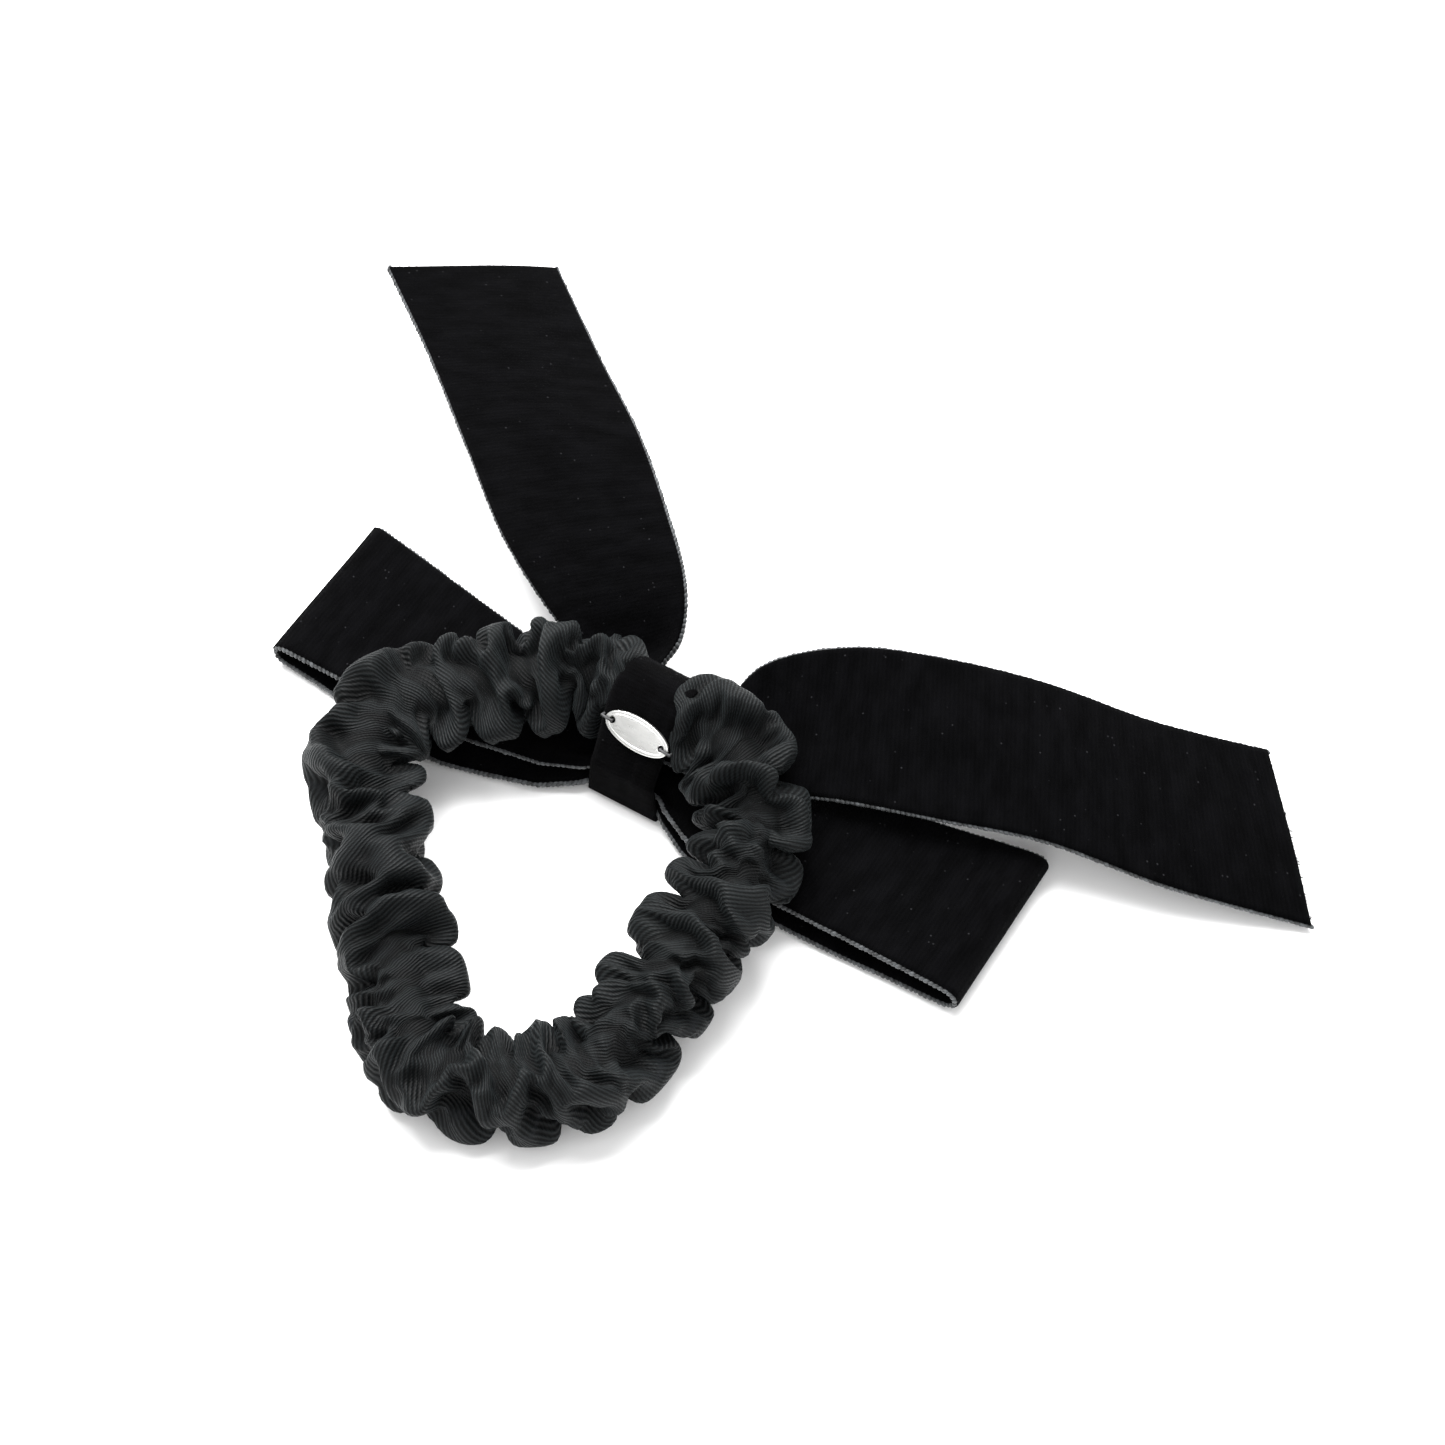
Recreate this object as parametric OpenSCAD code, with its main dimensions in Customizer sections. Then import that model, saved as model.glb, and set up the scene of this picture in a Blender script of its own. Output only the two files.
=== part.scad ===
/* [Ribbon bow] */
// Thickness of one layer of velvet ribbon
ribbon_t = 1.1; // [0.9:0.1:1.2]
// Distance from the knot to the far end of each loop
loop_len = 57; // [50:1:62]
// Width of a loop's ribbon on the far side of the knot line
loop_back_w = 12; // [10:0.5:14]
// Width of a loop's ribbon on the near side of the knot line
loop_front_w = 14; // [12:0.5:15]
// Height of the top of the loops above the table
loop_top = 5; // [4.4:0.1:5]

/* [Knot] */
// Width of the velvet band round the knot
band_w = 11; // [9:0.5:11]
// Depth of the knot across the ribbon
band_depth = 19; // [18:0.5:22]
// Thickness of the band
band_t = 1; // [0.8:0.1:1.1]
// Long axis of the oval metal tag
tag_long = 10.4; // [8:0.2:11]
// Short axis of the oval metal tag
tag_short = 5; // [4:0.2:6]
// Thickness of the metal tag
tag_t = 0.5; // [0.3:0.1:0.8]

/* [Gathered ring] */
// Radius of the gathered casing at the front of the ring
front_r = 6.2; // [5.6:0.1:6.6]
// Radius of the gathered casing beside the knot and along the sides
side_r = 5.3; // [4.8:0.1:5.3]
// Radius of the casing where the knot squeezes it
knot_r = 4.3; // [4.2:0.1:4.3]
// Depth of the gathered cloth between the casing's outside and its hollow
casing_wall = 1.9; // [1.6:0.1:1.9]
// Radius of the round elastic
elastic_r = 2; // [1.5:0.1:2]
// Height of the elastic where it passes through the knot
axis_h = 13; // [12.8:0.1:13.4]

/* [Hidden] */
$fn = 48;

velvet = [0.05, 0.045, 0.045];
twill = [0.14, 0.16, 0.165];
silver = [0.82, 0.82, 0.8];
thread = [0.09, 0.09, 0.1];
rubber = [0.3, 0.3, 0.3];

gap = 0.3;                 // space kept between neighbouring soft pieces
axis_y = 0.5;              // where the elastic crosses the knot, front to back

// Ring centre line, seen square on, with the knot at the origin: corners and their radii.
corners = [[-12, 0], [-37, -22], [3, -64], [22, -53], [24, 0]];
corner_r = [14, 9, 9, 12, 17];
knot_run = 4;              // the run that starts at this corner passes through the knot

// The two woven edges of the tail ribbon, from the left tip, under the elastic, to the right tip.
edge_near = [
    [-78, 48, 14], [-63, 37, 14], [-49, 26, 13], [-36, 16, 11], [-24, 9.5, 9], [-13, 5, 7], [-5, -2, 6.3],
    [5, -3, 6.3], [16, -1, 6], [28, 3, 8], [42, 7, 9], [56, 12, 8], [73, 16, 5], [92, 23, 1]];
edge_far = [
    [-56, 61, 14], [-40, 48, 16], [-26, 37, 18], [-15, 27, 18], [-7, 19, 16], [-4, 13, 11.5], [-5, 6.5, 6.6],
    [5, 6.5, 6.6], [9, 15, 12], [19, 22, 15], [31, 27, 15], [45, 32, 13], [60, 36, 10], [75, 42, 7]];
edge_steps = 3;            // stations on each span between two edge points
left_fold = 4;             // span where the left tail bends
right_fold = 9;            // span where the right tail bends
fold_gap = 0.06;           // part of a span left free at each bend

// ---- Ring path -------------------------------------------------------------------------

count = len(corners);
function corner(i) = corners[(i + count) % count];
function heading(i) = let (d = corner(i + 1) - corner(i)) atan2(d[1], d[0]);
function turn(i) = let (a = heading(i) - heading(i - 1)) a > 180 ? a - 360 : a < -180 ? a + 360 : a;
function radius(i) = corner_r[(i + count) % count];
function trim(i) = radius(i) * tan(abs(turn(i)) / 2);
function unit(a) = [cos(a), sin(a)];
function run_start(i) = corner(i) + trim(i) * unit(heading(i));
function run_end(i) = corner(i + 1) - trim(i + 1) * unit(heading(i));
function along(i, t) = run_start(i) * (1 - t) + run_end(i) * t;
function bend_centre(i) = run_start(i) + radius(i) * unit(heading(i) + 90);

reach = -min([for (i = [0 : count - 1]) bend_centre(i)[1] - radius(i)]);
ring_tilt = asin((axis_h - front_r) / reach);

module in_ring_plane() {
    translate([0, axis_y, axis_h]) rotate([ring_tilt, 0, 0]) children();
}

// A station is a point on the centre line, the heading there and the radius of the tube.
function on_run(i, t, r) = [along(i, t), heading(i), r];
function on_bend(i, r) =
    let (n = ceil(turn(i) / bend_step), c = bend_centre(i))
    [for (k = [0 : n]) let (a = heading(i - 1) + turn(i) * k / n) [c + radius(i) * unit(a - 90), a, r]];

bend_step = 15;            // degrees of bend between two stations
tube_sides = 16;
back_cut = 0.45;           // how far along the back-left side the back piece reaches
left_cut = 0.4;            // how far along the front-left side the left piece reaches
right_cut = 0.2;           // how far along the right side the front piece reaches
seam = 0.008;              // part of a side left free between two pieces
squeeze = 0.06;            // part of the knot run over which the casing narrows

function back_path(r, r_knot) = concat(
    on_bend(4, r), [on_run(knot_run, squeeze, r_knot), on_run(knot_run, 1 - squeeze, r_knot)],
    on_bend(0, r), [on_run(0, back_cut - seam, r)]);
function left_path(r) = concat([on_run(0, back_cut + seam, r)], on_bend(1, r), [on_run(1, left_cut - seam, r)]);
function front_path(r) = concat(
    [on_run(1, left_cut + seam, r)], on_bend(2, r), on_bend(3, r), [on_run(3, right_cut - seam, r)]);
function right_path(r) = [on_run(3, right_cut + seam, r), on_run(3, 1 - 2 * seam, r)];

// Ring of points round one station, shrunk by inset.
function ring_points(st, inset, sides) = [for (j = [0 : sides - 1])
    let (a = 360 * j / sides, r = st[2] - inset, n = unit(st[1] + 90))
    [st[0][0] + r * cos(a) * n[0], st[0][1] + r * cos(a) * n[1], r * sin(a)]];

function wall_faces(rings, sides, first, inward) = [for (k = [0 : rings - 2], j = [0 : sides - 1])
    let (a = first + k * sides + j, b = first + k * sides + (j + 1) % sides)
    each inward ? [[a, a + sides, b], [b, a + sides, b + sides]] : [[a, b, a + sides], [b, b + sides, a + sides]]];

// Solid round rod through a list of stations.
module rod(path, sides = tube_sides) {
    rings = len(path);
    last = (rings - 1) * sides;
    points = [for (st = path) each ring_points(st, 0, sides)];
    caps = [[for (j = [0 : sides - 1]) sides - 1 - j], [for (j = [0 : sides - 1]) last + j]];
    polyhedron(points, concat(wall_faces(rings, sides, 0, false), caps), convexity = 8);
}

// Open-ended hollow tube through a list of stations.
module hollow(path, wall, sides = tube_sides) {
    rings = len(path);
    inner = rings * sides;
    last = (rings - 1) * sides;
    points = [for (inset = [0, wall]) each [for (st = path) each ring_points(st, inset, sides)]];
    rims = [for (j = [0 : sides - 1])
        let (k = (j + 1) % sides)
        each [[k, j, inner + j], [k, inner + j, inner + k],
            [last + j, last + k, inner + last + j], [last + k, inner + last + k, inner + last + j]]];
    faces = concat(wall_faces(rings, sides, 0, false), wall_faces(rings, sides, inner, true), rims);
    polyhedron(points, faces, convexity = 8);
}

// ---- Gathered casing and its elastic -----------------------------------------------------

module casing_back() {
    color(twill) in_ring_plane() hollow(back_path(side_r, knot_r), casing_wall);
}

module casing_left() {
    color(twill) in_ring_plane() hollow(left_path(side_r), casing_wall);
}

module casing_right() {
    color(twill) in_ring_plane() hollow(right_path(side_r), casing_wall);
}

module casing_front() {
    color(twill) in_ring_plane() hollow(front_path(front_r), casing_wall);
}

// Whip stitches that close the casing's two ends together, under the knot band.
stitch_count = 8;
module casing_closing_stitches() {
    color(thread) in_ring_plane()
        for (i = [0 : stitch_count - 1]) rotate([i * 360 / stitch_count, 0, 0])
            translate([-1.5, 0, knot_r + 0.14]) rotate([0, 90, 0]) cylinder(h = 3, r = 0.12, $fn = 16);
}

module elastic_back() {
    color(rubber) in_ring_plane() rod(back_path(elastic_r, elastic_r), 12);
}

module elastic_left() {
    color(rubber) in_ring_plane() rod(left_path(elastic_r), 12);
}

module elastic_right() {
    color(rubber) in_ring_plane() rod(right_path(elastic_r), 12);
}

module elastic_front() {
    color(rubber) in_ring_plane() rod(front_path(elastic_r), 12);
}

// Sleeve of thread whipped over the elastic's two ends where they are joined.
module elastic_join() {
    sleeve_r = (elastic_r + knot_r - casing_wall) / 2;
    color(thread) in_ring_plane() translate([-4, 0, 0]) rotate([0, 90, 0]) difference() {
        cylinder(h = 8, r = sleeve_r);
        translate([0, 0, -1]) cylinder(h = 10, r = elastic_r + 0.02);
    }
}

// ---- Knot --------------------------------------------------------------------------------

base_h = 7.5;              // height of the band's straight sides
top_r = 5.6;               // radius of the band over the elastic

// Outline of the knot in the plane across the elastic, drawn with y across and z up.
// Its sides slope up from the flat base and just touch the round top.
module knot_outline(inset) {
    r = top_r - inset;
    half = band_depth / 2 - inset;
    side = [half - axis_y, base_h - axis_h];
    other = [-half - axis_y, base_h - axis_h];
    touch = function (v, s) let (a = atan2(v[1], v[0]) + s * acos(r / norm(v)))
        [axis_y + r * cos(a), axis_h + r * sin(a)];
    polygon([
        [-half, inset], [half, inset], [half, base_h],
        touch(side, 1), [axis_y, axis_h], touch(other, -1), [-half, base_h]]);
    translate([axis_y, axis_h]) circle(r = r);
}

// Stands a y-z outline up and gives it its length along the bow, centred on the knot.
module across(length) {
    rotate([90, 0, 90]) translate([0, 0, -length / 2]) linear_extrude(length) children();
}

module knot_band() {
    color(velvet) difference() {
        across(band_w) knot_outline(0);
        across(band_w + 2) knot_outline(band_t);
    }
}

// Hand stitches that close the band at the back of the knot.
module band_seam_thread() {
    color(thread) for (i = [0 : 4])
        translate([-2.4, band_depth / 2 + 0.21, 1.6 + i * 1.3]) rotate([0, 90, 12])
            cylinder(h = 2.4, r = 0.18, $fn = 16);
}

// The tag lies on the sloping front of the knot, with its middle on this point.
slope_start = [-band_depth / 2, base_h];
slope_dir = let (v = [-band_depth / 2 - axis_y, base_h - axis_h])
    180 + atan2(v[1], v[0]) + asin(top_r / norm(v));
tag_along = 7.7;           // from the foot of the slope to the middle of the tag
tag_shift = 0.6;           // from the middle of the band to the middle of the tag
tag_turn = -5;             // how far the tag is turned on the slope
hole_at = 4.1;             // from the middle of the tag to each thread hole
hole_r = 0.45;
thread_r = 0.2;

module on_slope() {
    translate([tag_shift, slope_start[0], slope_start[1]]) rotate([slope_dir, 0, 0])
        translate([0, tag_along, gap / 3]) rotate([0, 0, tag_turn]) children();
}

module metal_tag() {
    color(silver) on_slope() difference() {
        linear_extrude(tag_t) oval(tag_long / 2, tag_short / 2);
        for (side = [-1, 1]) translate([side * hole_at, 0, -1]) cylinder(h = tag_t + 2, r = hole_r);
    }
}

// An oval made of two long arcs and two short ones.
module oval(a, b) {
    polygon([for (i = [0 : 71]) [a * cos(i * 5), b * sin(i * 5)]]);
}

// Thread that comes up through a hole and goes back down past the rim.
module tag_thread(side) {
    over = tag_t + thread_r + 0.05;
    out = tag_long / 2 + 0.5;
    color(thread) on_slope() {
        translate([side * hole_at, 0, 0]) cylinder(h = over, r = thread_r, $fn = 16);
        translate([side * hole_at, 0, over]) rotate([0, side * 90, 0])
            cylinder(h = out - hole_at, r = thread_r, $fn = 16);
        translate([side * out, 0, 0]) cylinder(h = over, r = thread_r, $fn = 16);
        for (x = [hole_at, out]) translate([side * x, 0, over]) sphere(r = thread_r, $fn = 16);
    }
}

module tag_thread_left() {
    tag_thread(-1);
}

module tag_thread_right() {
    tag_thread(1);
}

// Turns of thread wound round the pinched middle of the bow, under the band.
module waist_binding_thread() {
    wire = 0.35;
    color(thread) for (x = [-3 : 1.5 : 3]) translate([x, 0, 0]) across(0.7) difference() {
        translate([-8.2, 1.15]) square([16.1, 6.75]);
        translate([-8.2 + wire, 1.15 + wire]) square([16.1 - 2 * wire, 6.75 - 2 * wire]);
    }
}

// ---- Loops -------------------------------------------------------------------------------

loop_bottom = 0.3;
loop_root = 7;             // where a loop starts, beside the knot
waist = [-7.7, 3];         // how far the pinched ribbon reaches, front and back
waist_low = 1.6;
waist_high = 4.6;

// Side view of one flattened loop, x outwards and z up.
module loop_side(inset) {
    end_r = (loop_top - loop_bottom) / 2;
    low = loop_bottom + inset;
    high = loop_top - inset;
    x_end = loop_len - end_r;
    polygon([
        [loop_root, waist_low + inset / 4], [12 + 2 * inset, low], [x_end, low],
        [x_end, high], [20 + inset, high], [loop_root, waist_high - inset / 4]]);
    translate([x_end, (loop_top + loop_bottom) / 2]) circle(r = end_r - inset);
}

// Top view of one loop: pinched at the knot and full width from halfway.
module loop_plan() {
    polygon([
        [loop_root, -9], [12, -11.5], [26, -loop_front_w], [loop_len + 1, -loop_front_w],
        [loop_len + 1, loop_back_w], [40, loop_back_w - 3.5], [22, 5.5], [loop_root, waist[1]]]);
}

module loop() {
    color(velvet) intersection() {
        rotate([90, 0, 0]) translate([0, 0, -20]) linear_extrude(40) difference() {
            loop_side(0);
            translate([0.01, 0]) loop_side(ribbon_t);
        }
        linear_extrude(10) loop_plan();
    }
}

module loop_left() {
    mirror([1, 0, 0]) loop();
}

module loop_right() {
    loop();
}

// The pinched middle of the loop ribbon, inside the knot.
module loops_waist() {
    color(velvet) translate([-5.9, waist[0], waist_low])
        cube([11.8, waist[1] - waist[0], waist_high - waist_low]);
}

// ---- Tails -------------------------------------------------------------------------------

// Point at t along a smooth curve through the list.
function on_curve(list, t) =
    let (
        i = min(floor(t), len(list) - 2), u = t - i,
        a = i > 0 ? list[i - 1] : 2 * list[0] - list[1], b = list[i], c = list[i + 1],
        d = i + 2 < len(list) ? list[i + 2] : 2 * list[i + 1] - list[i])
    (2 * b + (c - a) * u + (2 * a - 5 * b + 4 * c - d) * u * u + (3 * b - a - 3 * c + d) * u * u * u) / 2;

function unit3(v) = v / norm(v);

// Solid ribbon between the two edges, over part of their length.
module tail_ribbon(from, to) {
    steps = ceil((to - from) * edge_steps);
    at = [for (k = [0 : steps]) from + (to - from) * k / steps];
    near = [for (t = at) on_curve(edge_near, t)];
    far = [for (t = at) on_curve(edge_far, t)];
    mid = (near + far) / 2;
    face = [for (k = [0 : steps])
        unit3(cross(mid[min(k + 1, steps)] - mid[max(k - 1, 0)], far[k] - near[k])) * ribbon_t / 2];
    points = [for (k = [0 : steps]) each [near[k] - face[k], far[k] - face[k], far[k] + face[k], near[k] + face[k]]];
    sides = [for (k = [0 : steps - 1], j = [0 : 3])
        let (a = 4 * k + j, b = 4 * k + (j + 1) % 4) each [[a, a + 4, b], [b, a + 4, b + 4]]];
    last = 4 * steps;
    ends = [[0, 1, 2], [0, 2, 3], [last, last + 2, last + 1], [last, last + 3, last + 2]];
    color(velvet) polyhedron(points, concat(sides, ends), convexity = 6);
}

module tails_waist() {
    tail_ribbon(left_fold + fold_gap, right_fold - fold_gap);
}

module tail_left() {
    tail_ribbon(0, left_fold);
}

module tail_right() {
    tail_ribbon(right_fold, len(edge_near) - 1);
}

knot_band();
band_seam_thread();
metal_tag();
tag_thread_left();
tag_thread_right();
waist_binding_thread();
loops_waist();
tails_waist();
loop_left();
loop_right();
tail_left();
tail_right();
casing_back();
casing_left();
casing_right();
casing_front();
casing_closing_stitches();
elastic_back();
elastic_left();
elastic_right();
elastic_front();
elastic_join();
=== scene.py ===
import bpy
import math
import random
import time
import numpy as np
from mathutils import Matrix, Vector, noise


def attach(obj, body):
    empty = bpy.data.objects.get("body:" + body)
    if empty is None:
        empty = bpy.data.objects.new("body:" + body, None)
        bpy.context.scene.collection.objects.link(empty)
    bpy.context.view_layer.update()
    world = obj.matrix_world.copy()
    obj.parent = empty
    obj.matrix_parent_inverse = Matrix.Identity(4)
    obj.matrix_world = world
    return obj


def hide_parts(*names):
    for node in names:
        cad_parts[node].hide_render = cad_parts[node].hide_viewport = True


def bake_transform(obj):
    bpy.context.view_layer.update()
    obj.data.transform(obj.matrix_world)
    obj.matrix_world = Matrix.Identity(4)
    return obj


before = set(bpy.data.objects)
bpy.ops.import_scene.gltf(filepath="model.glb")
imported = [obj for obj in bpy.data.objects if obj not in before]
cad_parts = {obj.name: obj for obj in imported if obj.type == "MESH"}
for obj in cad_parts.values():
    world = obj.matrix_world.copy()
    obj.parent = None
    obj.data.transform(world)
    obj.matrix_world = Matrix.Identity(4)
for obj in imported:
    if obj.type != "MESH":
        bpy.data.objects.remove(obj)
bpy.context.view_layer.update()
startedAt = time.time()


def report(stage):
    print("scrunchie: " + stage + " at " + str(round(time.time() - startedAt, 1)) + " s")


# studio
studio = {
    "cameraPlace": (0.1551, -0.2361, 0.4128),
    "cameraTurn": (35.0, 0.0, 31.4),
    "lens": 87.2,
    "floorSize": 6.0,
    "skyStrength": 1.05,
    "keyPlace": (-0.36, 0.34, 0.80),
    "keySize": 0.85,
    "keyPower": 30.0,
    "fillPlace": (0.30, -0.75, 0.42),
    "fillSize": 0.5,
    "fillPower": 1.6,
}


def areaLight(name, place, size, power):
    light = bpy.data.lights.new(name, "AREA")
    light.shape = "SQUARE"
    light.size = size
    light.energy = power
    lamp = bpy.data.objects.new(name, light)
    bpy.context.scene.collection.objects.link(lamp)
    lamp.location = place
    lamp.rotation_euler = (-Vector(place)).to_track_quat("-Z", "Y").to_euler()
    return lamp


def setUpStudio():
    scene = bpy.context.scene
    camera = bpy.data.cameras.new("studioCamera")
    camera.lens = studio["lens"]
    camera.clip_start = 0.01
    camera.clip_end = 20
    cameraObject = bpy.data.objects.new("studioCamera", camera)
    scene.collection.objects.link(cameraObject)
    cameraObject.location = studio["cameraPlace"]
    cameraObject.rotation_euler = [math.radians(a) for a in studio["cameraTurn"]]
    scene.camera = cameraObject
    scene.view_settings.view_transform = "Standard"
    world = bpy.data.worlds.new("paleRoom")
    scene.world = world
    world.use_nodes = True
    sky = world.node_tree.nodes["Background"]
    sky.inputs["Color"].default_value = (1.0, 1.0, 1.0, 1)
    sky.inputs["Strength"].default_value = studio["skyStrength"]
    areaLight("keyPanel", studio["keyPlace"], studio["keySize"], studio["keyPower"])
    areaLight("fillPanel", studio["fillPlace"], studio["fillSize"], studio["fillPower"])
    half = studio["floorSize"] / 2
    mesh = bpy.data.meshes.new("paleFloor")
    mesh.from_pydata([(-half, -half, 0), (half, -half, 0), (half, half, 0), (-half, half, 0)], [], [(0, 1, 2, 3)])
    floor = bpy.data.objects.new("paleFloor", mesh)
    scene.collection.objects.link(floor)
    paint = bpy.data.materials.new("paleFloorPaint")
    paint.use_nodes = True
    shader = paint.node_tree.nodes["Principled BSDF"]
    shader.inputs["Base Color"].default_value = (0.97, 0.97, 0.97, 1)
    shader.inputs["Roughness"].default_value = 0.9
    shader.inputs["Specular IOR Level"].default_value = 0.1
    mesh.materials.append(paint)


setUpStudio()
report("studio")

# finishes

# small helper that keeps one material's tree short to write
class Finish:
    def __init__(self, name):
        self.material = bpy.data.materials.new(name)
        self.material.use_nodes = True
        self.tree = self.material.node_tree
        self.shader = self.tree.nodes["Principled BSDF"]

    def node(self, kind, **settings):
        made = self.tree.nodes.new(kind)
        for key, value in settings.items():
            setattr(made, key, value)
        return made

    def join(self, a, b):
        self.tree.links.new(a, b)

    def put(self, socket, value):
        if hasattr(value, "is_linked"):
            self.join(value, socket)
        else:
            socket.default_value = value

    def coords(self, kind, scale=(1, 1, 1), turn=(0, 0, 0)):
        source = self.node("ShaderNodeTexCoord")
        place = self.node("ShaderNodeMapping")
        place.inputs["Scale"].default_value = scale
        place.inputs["Rotation"].default_value = turn
        self.join(source.outputs[kind], place.inputs["Vector"])
        return place.outputs["Vector"]

    def maths(self, how, a, b=0.0, c=0.0, clamp=False):
        made = self.node("ShaderNodeMath", operation=how, use_clamp=clamp)
        for socket, value in zip(made.inputs, (a, b, c)):
            self.put(socket, value)
        return made.outputs[0]

    def noise(self, where, scale, detail=2.0, roughness=0.5):
        made = self.node("ShaderNodeTexNoise")
        made.inputs["Scale"].default_value = scale
        made.inputs["Detail"].default_value = detail
        made.inputs["Roughness"].default_value = roughness
        self.join(where, made.inputs["Vector"])
        return made.outputs["Fac"]

    def ramp(self, value, low, high, toLow=0.0, toHigh=1.0):
        made = self.node("ShaderNodeMapRange", interpolation_type="SMOOTHSTEP")
        self.put(made.inputs["Value"], value)
        for key, number in (("From Min", low), ("From Max", high), ("To Min", toLow), ("To Max", toHigh)):
            made.inputs[key].default_value = number
        return made.outputs["Result"]

    def mix(self, factor, a, b):
        made = self.node("ShaderNodeMix", data_type="RGBA")
        self.put(made.inputs[0], factor)
        self.put(made.inputs[6], a)
        self.put(made.inputs[7], b)
        return made.outputs[2]

    def bump(self, height, distance, strength=1.0, under=None):
        made = self.node("ShaderNodeBump")
        made.inputs["Distance"].default_value = distance
        made.inputs["Strength"].default_value = strength
        self.join(height, made.inputs["Height"])
        if under is not None:
            self.join(under, made.inputs["Normal"])
        return made.outputs["Normal"]


velvetLook = {
    "pile": (0.0005, 0.0005, 0.0006, 1),
    "pileLight": (0.0027, 0.0027, 0.0032, 1),
    "speck": (0.035, 0.035, 0.038, 1),
    "sheen": 0.018,
    "sheenRoughness": 0.35,
    "rowPitchCm": 0.062,
}


def velvetFinish(name, warm=0.0):
    f = Finish(name)
    weave = f.coords("UV")
    pile = f.noise(f.coords("UV", (1, 1, 1)), 95.0, 2.0, 0.6)
    nap = f.noise(f.coords("UV", (0.9, 2.2, 1)), 1.6, 3.0, 0.55)
    rows = f.node("ShaderNodeTexWave", wave_type="BANDS", bands_direction="Y")
    rows.inputs["Scale"].default_value = 0.3142 / velvetLook["rowPitchCm"]
    rows.inputs["Distortion"].default_value = 0.8
    rows.inputs["Detail"].default_value = 1.0
    rows.inputs["Detail Scale"].default_value = 2.0
    f.join(weave, rows.inputs["Vector"])
    shade = f.maths("ADD", f.maths("MULTIPLY", nap, 0.75), f.maths("MULTIPLY", rows.outputs["Fac"], 0.07))
    shade = f.maths("ADD", shade, f.maths("MULTIPLY", pile, 0.45))
    shade = f.ramp(shade, 0.38, 1.0)
    dark = tuple(c * (1 + warm * k) for c, k in zip(velvetLook["pile"][:3], (0.25, 0.12, -0.05))) + (1,)
    colour = f.mix(shade, dark, velvetLook["pileLight"])
    cells = f.node("ShaderNodeTexVoronoi", feature="F1")
    cells.inputs["Scale"].default_value = 7.5
    f.join(weave, cells.inputs["Vector"])
    pick = f.node("ShaderNodeSeparateColor")
    f.join(cells.outputs["Color"], pick.inputs["Color"])
    near = f.ramp(cells.outputs["Distance"], 0.05, 0.13, 1.0, 0.0)
    speck = f.maths("MULTIPLY", near, f.ramp(pick.outputs[0], 0.66, 0.80))
    colour = f.mix(f.maths("MULTIPLY", speck, 0.55), colour, velvetLook["speck"])
    f.join(colour, f.shader.inputs["Base Color"])
    f.shader.inputs["Roughness"].default_value = 0.95
    f.shader.inputs["Specular IOR Level"].default_value = 0.02
    f.shader.inputs["Sheen Weight"].default_value = velvetLook["sheen"]
    f.shader.inputs["Sheen Roughness"].default_value = velvetLook["sheenRoughness"]
    f.shader.inputs["Sheen Tint"].default_value = (0.55, 0.55, 0.58, 1)
    low = f.bump(f.maths("ADD", nap, f.maths("MULTIPLY", rows.outputs["Fac"], 0.04)), 0.0005, 0.7)
    f.join(f.bump(pile, 0.00022, 0.9, low), f.shader.inputs["Normal"])
    return f.material


def selvedgeFinish(name):
    f = Finish(name)
    place = f.coords("Object")
    tone = f.noise(place, 900.0, 2.0, 0.6)
    colour = f.mix(f.ramp(tone, 0.35, 0.65), (0.008, 0.009, 0.010, 1), (0.052, 0.057, 0.061, 1))
    f.join(colour, f.shader.inputs["Base Color"])
    f.shader.inputs["Roughness"].default_value = 0.62
    f.shader.inputs["Sheen Weight"].default_value = 0.15
    f.join(f.bump(f.noise(place, 3500.0, 1.0), 0.00005), f.shader.inputs["Normal"])
    return f.material


twillLook = {
    "deep": (0.0008, 0.0010, 0.0011, 1),
    "lit": (0.0096, 0.0115, 0.0121, 1),
    "ribPitchCm": 0.056,
    "ribAngle": 52.0,
    "seamAtCm": 2.30,
}


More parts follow.
